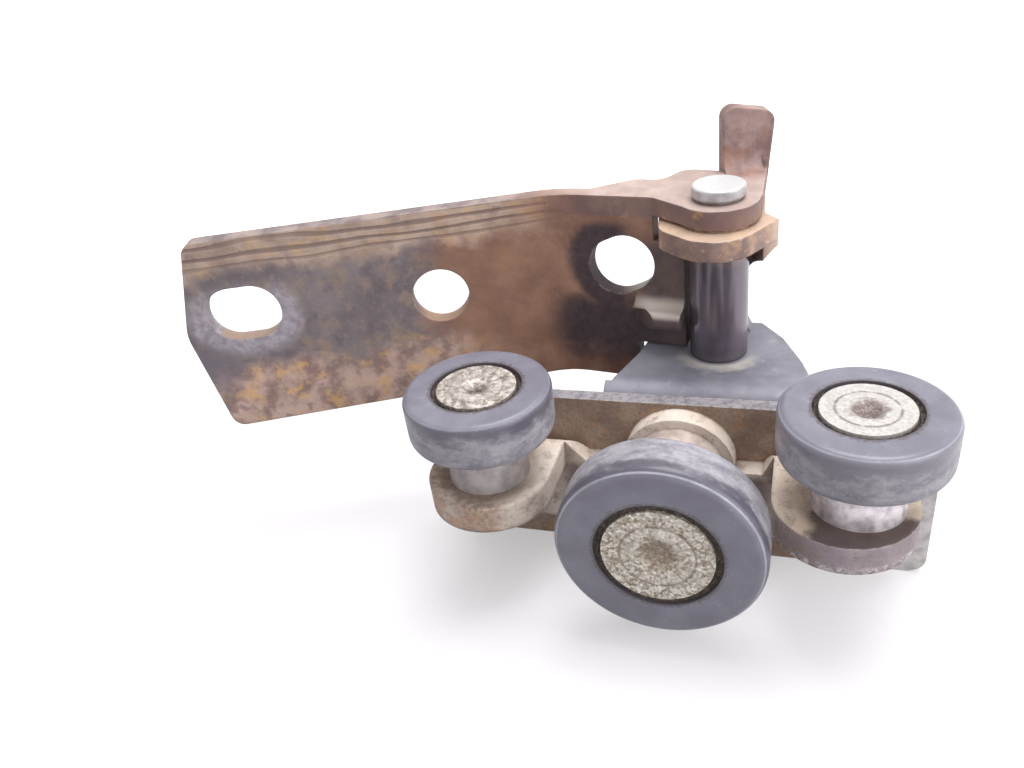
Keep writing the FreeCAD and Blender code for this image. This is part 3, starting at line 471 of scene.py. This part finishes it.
def carrier_finish():
    """Old zinc: cream in the middle, brown on the left ear, sooty on the right one, with painted shade below
    the ears and painted shadows about them.
    """
    f = Finish("carrier_zinc")
    along = f.along(CARRIAGE_RUN)
    forward = f.along(CARRIAGE_FRONT)
    up = f.facing(UP)
    cloud = f.noise(6.0, 6, 0.6)
    fine = f.noise(0.9, 5, 0.68, shift=5)
    lumps = f.noise(2.4, 6, 0.62, shift=41)
    grit = f.noise(0.45, 4, 0.7, shift=13)
    cream = f.blend(f.rise(cloud, 0.34, 0.66), tone(227, 211, 198), tone(241, 228, 217))
    brown = f.blend(f.rise(fine, 0.34, 0.68), tone(148, 128, 117), tone(191, 171, 156))
    colour = f.blend(f.both(f.rise(lumps, 0.5, 0.66), 0.5), cream, brown)
    side = f.rise(up, 0.7, 0.2)
    front = f.rise(f.facing(CARRIAGE_FRONT), 0.2, 0.7)

    # The left ear.
    left = f.ragged(along, lumps, 4, 25.0, 19.0)
    colour = f.blend(f.both(left, f.rise(cloud, 0.25, 0.5)), colour, brown)
    rust = f.both(f.rise(f.noise(3.6, 6, 0.6, shift=67), 0.46, 0.64), f.both(left, side))
    colour = f.blend(f.both(rust, 0.6), colour, tone(191, 144, 115))

    # Painted shade on the web below the ears, away from the load roller's collar.
    web_shade = f.both(f.rise(along, 25.5, 28.5), f.rise(along, 64.0, 60.0))
    web_shade = f.both(web_shade, front, f.rise(f.from_axis(*axis_of("load_spin")), 9.0, 10.5))
    web_shade = f.both(web_shade, f.ragged(f.along(UP), lumps, 1, -23.0, -24.6))
    dark = f.blend(f.rise(lumps, 0.4, 0.64), tone(106, 87, 87), tone(137, 117, 112))
    colour = f.blend(f.both(web_shade, 0.8), colour, dark)

    # The right ear, with soot and a painted shadow of its roller in front, and a scraped lower edge.
    right = f.rise(along, 60.0, 66.0)
    ochre = f.blend(f.rise(lumps, 0.38, 0.64), tone(202, 180, 155), tone(241, 225, 204))
    colour = f.blend(f.both(right, 0.7), colour, ochre)
    mauve = f.blend(f.rise(cloud, 0.34, 0.66), tone(135, 124, 133), tone(160, 148, 157))
    colour = f.blend(f.both(right, side, 0.9), colour, mauve)
    mottle = f.both(right, f.rise(along, 71.0, 66.0), f.rise(lumps, 0.44, 0.6))
    colour = f.blend(f.both(mottle, 0.55), colour, tone(155, 130, 110))
    soot_and_shadow = f.both(f.ragged(forward, lumps, 1.4, 31.6, 33.0), f.rise(up, 0.6, 0.9))
    soot_and_shadow = f.both(soot_and_shadow, f.ragged(along, lumps, 3, 66.0, 69.0))
    colour = f.blend(f.both(soot_and_shadow, 0.92), colour, tone(78, 65, 71))
    scrape = f.both(f.rise(f.along(UP), -22.2, -23.4), f.both(right, side, f.rise(fine, 0.46, 0.6)))
    colour = f.blend(f.both(scrape, 0.7), colour, tone(241, 233, 234))

    # Dirt with a painted shadow about the studs' necks, specks and worn edges.
    for joint in ("guide_spin_left", "guide_spin_right"):
        # Dirt and painted shadow in a ring about each stud's neck.
        ring = f.ragged(f.from_axis(*axis_of(joint)), lumps, 1.5, 9.4, 7.4)
        ring = f.both(ring, f.rise(up, 0.6, 0.9), f.rise(forward, 28.0, 34.0))
        colour = f.blend(f.both(ring, 0.6), colour, tone(94, 76, 67))
    stain = f.both(f.rise(grit, 0.5, 0.7), f.rise(lumps, 0.44, 0.6))
    colour = f.blend(f.both(stain, 0.6), colour, tone(99, 78, 67))
    colour = f.blend(f.both(f.hollows(3.5), 0.5), colour, tone(87, 72, 67))
    rubbed = f.both(f.edges(0.5), f.rise(fine, 0.4, 0.62))
    colour = f.blend(f.both(rubbed, f.level(front, 0.25, 0.6)), colour, tone(241, 232, 225))
    relief = f.sum("ADD", f.sum("ADD", f.both(fine, 0.7), lumps), f.both(grit, 0.4))
    return f.done(colour, f.level(fine, 0.5, 0.8), 0.1, f.bump(relief, 0.16, f.rounded(1.0)), 0.45)


def axis_of(joint):
    """A joint's point, in millimetres, and its direction."""
    return Vector(JOINTS[joint]["pos_m"]) / MM, Vector(JOINTS[joint]["axis"]).normalized()


def hub_finish(name, joint, pattern, outward, look):
    """The end of a riveted stud and the bearing's inner ring, seen as one disc, and the neck behind."""
    f = Finish(name)
    point, axis = axis_of(joint)
    axis = axis * outward
    radius = f.from_axis(point, axis)
    journal = reach(pattern.format("inner_ring"), joint)[0]
    behind = min(end * outward for end in reach(pattern.format("roller"), joint)[2:])
    away = f.vector("SUBTRACT", f.place, tuple(point))
    run = f.vector("DOT_PRODUCT", away, tuple(axis))
    outwards = f.vector("SUBTRACT", away, f.vector("SCALE", tuple(axis), scale=run))
    spoke = f.vector("NORMALIZE", outwards)
    rays = f.noise(0.13, 5, 0.7, at=spoke)
    grain = f.noise(look["grain"], 4, 0.7)
    flakes = f.flakes(look["grain"])
    fine = f.noise(1.7, 5, 0.65, shift=19)
    grains = f.both(f.rise(grain, 0.38, 0.64), 0.5)
    sparkle = f.sum("ADD", grains, f.both(f.rise(flakes, 0.15, 0.95), 0.5))
    colour = f.blend(sparkle, look["dark"], look["light"])
    colour = f.blend(f.both(f.rise(fine, 0.48, 0.66), look["pitted"] * 0.5), colour, look["dark"])
    inside = f.rise(radius, journal + 0.2, journal - 0.2)
    inside = f.both(inside, f.rise(radius, look["dimple"], journal))
    peened = f.blend(f.rise(rays, 0.36, 0.66), look["light"], look["dark"])
    colour = f.blend(f.both(inside, look["peened"]), colour, peened)
    line = f.rise(f.sum("ABSOLUTE", f.sum("SUBTRACT", radius, journal)), 0.34, 0.1)
    line = f.both(line, f.rise(fine, 0.36, 0.52), look["line"])
    colour = f.blend(line, colour, look["core"])
    rusty = f.ragged(radius, fine, 2.0, look["dimple"] + 0.9, look["dimple"] - 1.0)
    rusty = f.both(rusty, f.level(f.rise(grain, 0.36, 0.66), 1.0, 0.6))
    colour = f.blend(rusty, colour, look["core"])

    # The neck between the roller and the carrier.
    neck = f.rise(run, behind + 0.2, behind - 0.2)
    cloud = f.noise(2.6, 4, 0.55, shift=43)
    steel = f.blend(f.rise(cloud, 0.32, 0.68), look["neck"], look["bare"])
    # Painted highlight: glints on the neck.
    painted_glint = f.rise(f.noise(1.5, 4, 0.6, shift=47), 0.46, 0.66)
    painted_glint = f.both(painted_glint, f.rise(run, behind - 4.5, behind - 1.5))
    steel = f.blend(f.both(painted_glint, 0.7), steel, look["painted_glint"])
    colour = f.blend(neck, colour, steel)
    colour = f.blend(f.both(f.hollows(0.8), 0.5), colour, tone(67, 56, 49))
    relief = f.sum("ADD", grain, f.both(flakes, 0.5))
    relief = f.sum("SUBTRACT", relief, f.both(line, 1.5))
    relief = f.both(relief, f.level(neck, 1.0, 0.3))
    normal = f.bump(relief, 0.02 + 0.1 * look["pitted"], f.rounded(0.15))
    metallic = f.level(neck, look["metal"], look["shine"])
    return f.done(colour, f.level(grain, 0.36, 0.56), metallic, normal)


def ring_finish():
    """Outer rings, dark with old grease."""
    f = Finish("race_dark")
    fine = f.noise(0.8, 5, 0.65)
    colour = f.blend(f.rise(fine, 0.35, 0.65), tone(51, 42, 38), tone(106, 90, 76))
    return f.done(colour, f.level(fine, 0.35, 0.65), 0.4, f.bump(fine, 0.05))


def ball_finish():
    """Polished balls."""
    f = Finish("ball_steel")
    fine = f.noise(0.9, 4, 0.6)
    colour = f.blend(fine, tone(137, 128, 119), tone(200, 193, 187))
    return f.done(colour, f.level(fine, 0.2, 0.4), 1.0, f.bump(fine, 0.01))


def grease_finish():
    """Crumbling black grease."""
    f = Finish("bearing_grease")
    crumbs = f.noise(0.5, 5, 0.7)
    colour = f.blend(f.rise(crumbs, 0.42, 0.66), tone(42, 34, 38), tone(108, 94, 78))
    return f.done(colour, f.level(crumbs, 0.35, 0.8), 0.0, f.bump(crumbs, 0.12))


def roller_finish(name, joint, outward, look):
    """Slate nylon: satin faces, a painted highlight along the face's edge, a tread dark by its edge and
    rubbed pale beyond, dirt at the bore.
    """
    f = Finish(name)
    point, axis = axis_of(joint)
    axis = axis * outward
    bore, tread_radius, *ends = reach(name, joint)
    face_level = max(end * outward for end in ends)
    radius = f.from_axis(point, axis)
    run = f.vector("DOT_PRODUCT", f.vector("SUBTRACT", f.place, tuple(point)), tuple(axis))
    depth = f.sum("SUBTRACT", face_level, run)
    cloud = f.noise(7.0, 5, 0.55)
    fine = f.noise(0.7, 5, 0.62, shift=9)
    scuff = f.noise(4.0, 6, 0.66, shift=29, at=f.stretched(axis, 2.0))
    face = f.blend(f.rise(cloud, 0.35, 0.65), tone(115, 112, 125), tone(128, 126, 138))
    dust = f.both(f.rise(fine, 0.58, 0.74), f.rise(cloud, 0.38, 0.6))
    face = f.blend(f.both(dust, 0.4), face, tone(178, 175, 182))
    pale = f.blend(f.rise(scuff, 0.3, 0.7), tone(124, 120, 130), tone(173, 170, 177))
    pale = f.marked(pale, fine, 0.5, 0.72, 0.4, tone(200, 198, 202))
    below = f.ragged(depth, scuff, 3.0, 1.2, 4.2)
    band = f.blend(look["band"], tone(155, 152, 162), tone(85, 81, 93))
    tread = f.blend(below, band, pale)
    on_tread = f.ragged(depth, fine, 0.2, 0.4, 0.65)
    on_tread = f.both(on_tread, f.rise(radius, tread_radius - 1.6, tread_radius - 1.0))
    colour = f.blend(f.both(on_tread, 0.9), face, tread)
    # Painted highlight along the face's rounded edge.
    corner = f.both(f.rise(depth, 0.2, 0.32), f.rise(depth, 0.5, 0.4))
    corner = f.both(corner, f.rise(radius, tread_radius - 1.6, tread_radius - 1.2))
    corner = f.both(corner, f.level(scuff, -0.2, 1.2), look["edge"])
    colour = f.blend(corner, colour, tone(211, 209, 220))
    rim = f.ragged(radius, fine, 0.9, bore + 0.7, bore + 0.1)
    colour = f.blend(f.both(rim, 0.7), colour, tone(76, 66, 67))
    relief = f.sum("ADD", f.both(fine, 0.5), f.both(scuff, on_tread, 0.8))
    normal = f.bump(relief, 0.05, f.rounded(0.2))
    return f.done(colour, f.level(f.both(on_tread, below), 0.32, 0.52), 0.0, normal, 0.5)


def reach(node, joint):
    """Least and greatest distance of a node's points from a joint's axis, and their ends along it, in mm."""
    point, axis = axis_of(joint)
    away = [vertex.co / MM - point for vertex in NODES[node].data.vertices]
    runs = [step.dot(axis) for step in away]
    radii = [(step - axis * run).length for step, run in zip(away, runs)]
    return min(radii), max(radii), min(runs), max(runs)


BEARINGS = (
    ("guide_spin_left", "guide_wheel_left", "guide_{}_left", 1),
    ("guide_spin_right", "guide_wheel_right", "guide_{}_right", 1),
    ("load_spin", "load_wheel", "load_{}", -1),
)
# How each hub and tyre has worn: bright flakes on the left, polished white on the right and brassy grit in
# front; the glint colour is a painted highlight on the neck, and edge is the share of a painted highlight on
# the tyre's edge. Grain and dimple are millimetres, and the other numbers are shares.
BEARING_LOOKS = (
    {
        "dark": tone(124, 115, 107), "light": tone(225, 217, 209), "core": tone(85, 75, 67),
        "neck": tone(151, 142, 142), "bare": tone(182, 175, 175), "painted_glint": tone(239, 241, 230),
        "grain": 0.7, "dimple": 1.5, "pitted": 0.6, "peened": 0.35, "line": 0.2,
        "metal": 0.35, "shine": 0.2, "band": 0.9, "edge": 0.2,
    },
    {
        "dark": tone(173, 169, 165), "light": tone(207, 202, 199), "core": tone(96, 74, 71),
        "neck": tone(166, 158, 164), "bare": tone(234, 227, 231), "painted_glint": tone(240, 241, 238),
        "grain": 0.5, "dimple": 2.5, "pitted": 0.1, "peened": 0.2, "line": 0.6,
        "metal": 0.1, "shine": 0.6, "band": 0.5, "edge": 0.5,
    },
    {
        "dark": tone(121, 106, 83), "light": tone(241, 236, 227), "core": tone(128, 109, 92),
        "neck": tone(171, 155, 148), "bare": tone(211, 196, 187), "painted_glint": tone(234, 220, 211),
        "grain": 0.5, "dimple": 2.7, "pitted": 0.7, "peened": 0.4, "line": 0.6,
        "metal": 0.3, "shine": 0.15, "band": 1.0, "edge": 0.8,
    },
)
# The grease's grid, then in millimetres its lumps, its depth, its gap to the metal, its drop below
# the tyre's face and its dish.
GREASE_STEPS = 144
GREASE_ROWS = 8
GREASE_LUMP = 0.26
GREASE_DEPTH = 0.6
GREASE_GAP = 0.03
GREASE_DROP = 0.6
GREASE_DISH = 0.35
# How closely its broad and small lumps follow one another, and the small ones' share.
GREASE_BROAD = 1.4
GREASE_SMALL = 3.1
GREASE_SMALL_SHARE = 0.6


def grease_ring(joint, body, pattern, outward, material):
    """Black grease and dust that fill the gap between a bearing's inner ring and the tyre's bore."""
    point, axis = axis_of(joint)
    axis = axis * outward
    inner = reach(pattern.format("inner_ring"), joint)[1]
    outer, _, *ends = reach(pattern.format("roller"), joint)
    face = max(end * outward for end in ends)
    side = axis.orthogonal().normalized()
    other = axis.cross(side)
    mesh = bmesh.new()
    rows = []
    for row in range(GREASE_ROWS + 1):
        share = row / GREASE_ROWS
        radius = inner + GREASE_GAP + (outer - inner - 2 * GREASE_GAP) * share
        sag = GREASE_DROP + GREASE_DISH * math.sin(math.pi * share)
        ring = []
        for step in range(GREASE_STEPS):
            turn = 2 * math.pi * step / GREASE_STEPS
            spot = side * math.cos(turn) * radius + other * math.sin(turn) * radius
            lump = noise.noise(spot * GREASE_BROAD)
            lump += GREASE_SMALL_SHARE * noise.noise(spot * GREASE_SMALL)
            level = face - sag + GREASE_LUMP * lump
            ring.append(mesh.verts.new((point + spot + axis * level) * MM))
        rows.append(ring)
    down = axis * GREASE_DEPTH * MM
    rows += [[mesh.verts.new(vert.co - down) for vert in row] for row in (rows[-1], rows[0])]
    for low, high in zip(rows, rows[1:] + rows[:1]):
        for step in range(GREASE_STEPS):
            after = (step + 1) % GREASE_STEPS
            mesh.faces.new((low[step], high[step], high[after], low[after]))
    bmesh.ops.recalc_face_normals(mesh, faces=mesh.faces)
    data = bpy.data.meshes.new(pattern.format("grease"))
    mesh.to_mesh(data)
    mesh.free()
    data.materials.append(material)
    for polygon in data.polygons:
        polygon.use_smooth = True
    ring = bpy.data.objects.new(pattern.format("grease"), data)
    bpy.context.scene.collection.objects.link(ring)
    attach(ring, body)


def finishes():
    """Every node's finish, and the grease in the three bearings."""
    wear(bracket_finish(), "door_bracket")
    wear(pin_finish(), "hinge_pin")
    wear(sleeve_finish(), "hinge_sleeve")
    wear(washer_finish(), "thrust_washer_upper", "thrust_washer_lower")
    wear(yoke_finish(), "hinge_yoke")
    wear(plate_finish(), "carriage_plate")
    wear(carrier_finish(), "roller_carrier")
    patterns = [pattern for _, _, pattern, _ in BEARINGS]
    wear(ring_finish(), *(pattern.format("outer_ring") for pattern in patterns))
    wear(ball_finish(), *(pattern.format("balls") for pattern in patterns))
    grease = grease_finish()
    for (joint, body, pattern, outward), look in zip(BEARINGS, BEARING_LOOKS):
        hub = hub_finish(pattern.format("hub"), joint, pattern, outward, look)
        wear(hub, pattern.format("stud"), pattern.format("inner_ring"))
        tyre = pattern.format("roller")
        wear(roller_finish(tyre, joint, outward, look), tyre)
        grease_ring(joint, body, pattern, outward, grease)


# Rays that show the white surroundings besides the camera's own.
MIRROR_RAYS = ("Is Glossy Ray", "Is Transmission Ray")
# The floor's half side and its gap under the part, in metres, and its glow near the part and far off.
FLOOR_HALF = 3.0
FLOOR_GAP = 0.2 * MM
FLOOR_GLOW = 0.36
FLOOR_FAR_GLOW = 1.0
# Distances, in millimetres, over which the near floor turns into the far one.
FLOOR_FADE = (60, 280)
FLOOR_WHITE = tone(198, 195, 200)
# The floor as the part's lit side sees it, which keeps undersides dark.
FLOOR_SHADE = tone(100, 99, 102)


def floor():
    """A plain white table just under the part, which turns into the white surroundings away from it."""
    low = CAD_BOX[0].z - FLOOR_GAP
    sides = ((-1, -1), (1, -1), (1, 1), (-1, 1))
    corners = [(x * FLOOR_HALF, y * FLOOR_HALF, low) for x, y in sides]
    data = bpy.data.meshes.new("floor")
    data.from_pydata(corners, [], [(0, 1, 2, 3)])
    ground = bpy.data.objects.new("floor", data)
    bpy.context.scene.collection.objects.link(ground)
    f = Finish("floor_white")
    away = f.vector("LENGTH", f.place)
    glow = f.level(f.rise(away, *FLOOR_FADE), FLOOR_GLOW, FLOOR_FAR_GLOW)
    rays = f.add("LightPath").outputs
    seen = rays["Is Camera Ray"]
    for name in MIRROR_RAYS:
        seen = f.sum("MAXIMUM", seen, rays[name])
    f.feed(f.shader.inputs["Emission Color"], (1, 1, 1, 1))
    f.feed(f.shader.inputs["Emission Strength"], f.both(glow, seen))
    f.feed(f.shader.inputs["Base Color"], f.blend(seen, FLOOR_SHADE, FLOOR_WHITE))
    f.feed(f.shader.inputs["Roughness"], 0.9)
    f.feed(f.shader.inputs["Specular IOR Level"], 0.1)
    data.materials.append(f.material)


# Strength of the surroundings as light on the part, and as a background.
WORLD_LIGHT = 0.75
WORLD_SEEN = 1.0
LAMP_AIM = Vector((0.02, -0.02, 0.0))
# Each lamp's name, power, side and place: one overhead, one in front to the right.
LAMPS = (
    ("key", 3.3, 0.4, Vector((0.15, 0.05, 0.58))),
    ("fill", 2.25, 0.45, Vector((0.44, -0.42, 0.24))),
)


def light():
    """White surroundings that metal reflects, and two large soft lamps."""
    world = bpy.data.worlds.new("studio")
    bpy.context.scene.world = world
    world.use_nodes = True
    tree = world.node_tree
    back = tree.nodes["Background"]
    back.inputs["Color"].default_value = (1, 1, 1, 1)
    rays = tree.nodes.new("ShaderNodeLightPath").outputs
    seen = rays["Is Camera Ray"]
    for name in MIRROR_RAYS:
        either = tree.nodes.new("ShaderNodeMath")
        either.operation = "MAXIMUM"
        tree.links.new(seen, either.inputs[0])
        tree.links.new(rays[name], either.inputs[1])
        seen = either.outputs[0]
    span = tree.nodes.new("ShaderNodeMapRange")
    tree.links.new(seen, span.inputs["Value"])
    span.inputs["To Min"].default_value = WORLD_LIGHT
    span.inputs["To Max"].default_value = WORLD_SEEN
    tree.links.new(span.outputs["Result"], back.inputs["Strength"])

    for name, power, side, place in LAMPS:
        lamp = bpy.data.lights.new(name, "AREA")
        lamp.energy = power
        lamp.size = side
        box = bpy.data.objects.new(name, lamp)
        box.location = place
        box.rotation_mode = "QUATERNION"
        box.rotation_quaternion = (LAMP_AIM - place).to_track_quat("-Z", "Y")
        bpy.context.scene.collection.objects.link(box)


def camera():
    """Looks at the part from the photograph's standpoint."""
    view = Vector((
        -math.sin(CAMERA_AZIMUTH) * math.cos(CAMERA_ELEVATION),
        math.cos(CAMERA_AZIMUTH) * math.cos(CAMERA_ELEVATION),
        -math.sin(CAMERA_ELEVATION),
    ))
    level = view.cross(UP).normalized()
    upright = level.cross(view)
    right = level * math.cos(CAMERA_ROLL) + upright * math.sin(CAMERA_ROLL)
    top = right.cross(view)
    data = bpy.data.cameras.new("camera")
    data.lens = CAMERA_LENS
    data.sensor_width = SENSOR_WIDTH
    data.clip_start = 1 * MM
    stand = bpy.data.objects.new("camera", data)
    turn = Matrix((right, top, -view)).transposed().to_4x4()
    stand.matrix_world = Matrix.Translation(CAMERA_AT) @ turn
    bpy.context.scene.collection.objects.link(stand)
    bpy.context.scene.camera = stand


finishes()
floor()
light()
camera()
bpy.context.scene.view_settings.view_transform = "Standard"
